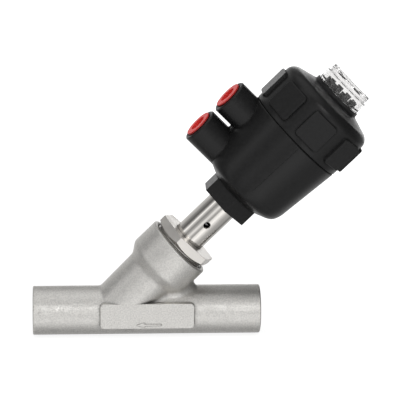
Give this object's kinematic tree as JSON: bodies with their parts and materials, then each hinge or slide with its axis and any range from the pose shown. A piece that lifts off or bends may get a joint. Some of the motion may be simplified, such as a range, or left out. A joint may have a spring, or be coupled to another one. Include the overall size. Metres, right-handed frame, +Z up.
{
  "type": "angle seat valve",
  "caption": "Pneumatic angle seat valve: cast weld-end body, hex bonnet, steel guide tube, black piston actuator with air ports, clear indicator cap.",
  "frame": {"origin": "centre of the outlet weld face, on the pipe axis", "axes": "+X along the pipe from outlet to inlet, +Z up; the spindle leans 45 degrees from +Z towards +X in the XZ plane"},
  "size_m": [0.182, 0.061, 0.1515],
  "materials": {
    "cast_stainless": "bead-blasted investment casting, fine even grain",
    "machined_stainless": "machined, satin, light turning marks",
    "polished_stainless": "fine-ground and polished",
    "black_polyamide": "glass-filled polyamide, satin moulded surface",
    "clear_polycarbonate": "clear moulded polycarbonate",
    "red_plastic": "soft moulded polyethylene, slight gloss",
    "ptfe_white": "turned fluoropolymer",
    "packing_black": "carbon-filled packing and seals",
    "seal_rubber": "moulded elastomer",
    "spring_steel": "drawn wire",
    "indicator_black": "moulded indicator head",
    "bearing_bronze": "filled bearing plastic",
    "gasket_grey": "pressed graphite sheet"
  },
  "bodies": {
    "valve": {"valve_body": "cast_stainless", "bonnet_gasket": "gasket_grey", "bonnet_nut": "machined_stainless", "guide_tube": "polished_stainless", "wiper_ring": "packing_black", "lower_guide_bush": "bearing_bronze", "lower_packing_washer": "machined_stainless", "packing_rings": "packing_black", "upper_packing_washer": "machined_stainless", "packing_spring": "spring_steel", "upper_guide_bush": "bearing_bronze", "housing_circlip": "spring_steel"},
    "stem": {"spindle": "polished_stainless", "plug_holder": "machined_stainless", "plug_pin": "machined_stainless", "disc_seal": "ptfe_white", "seal_washer": "machined_stainless", "plug_nut": "machined_stainless", "piston": "black_polyamide", "piston_lip_seal": "seal_rubber", "piston_guide_ring": "bearing_bronze", "piston_washer": "machined_stainless", "piston_nut": "machined_stainless", "indicator_rod": "machined_stainless", "indicator_head": "indicator_black"},
    "head": {"actuator_housing": "black_polyamide", "tube_o_ring": "seal_rubber", "cover_o_ring": "seal_rubber", "actuator_cover": "black_polyamide", "outer_spring": "spring_steel", "inner_spring": "spring_steel"},
    "cap": {"clear_cap": "clear_polycarbonate"},
    "lower_plug": {"lower_port_plug": "red_plastic"},
    "upper_plug": {"upper_port_plug": "red_plastic"}
  },
  "joints": [
    {"name": "spindle_lift", "type": "slide", "parent": "valve", "child": "stem", "axis": [0.7071, 0, 0.7071], "range_m": [0, 0.009], "stiffness_N_per_m": 1500, "springref_m": -0.02, "deforming": ["outer_spring", "inner_spring"]},
    {"name": "actuator_turn", "type": "hinge", "parent": "valve", "child": "head", "pos_m": [0.044, 0, 0], "axis": [0.7071, 0, 0.7071], "continuous": true},
    {"name": "cap_off", "type": "slide", "parent": "head", "child": "cap", "axis": [0.7071, 0, 0.7071], "range_m": [0, 0.016]},
    {"name": "lower_plug_pull", "type": "slide", "parent": "head", "child": "lower_plug", "axis": [-0.7071, 0, 0.7071], "range_m": [0, 0.012]},
    {"name": "upper_plug_pull", "type": "slide", "parent": "head", "child": "upper_plug", "axis": [-0.7071, 0, 0.7071], "range_m": [0, 0.012]}
  ]
}
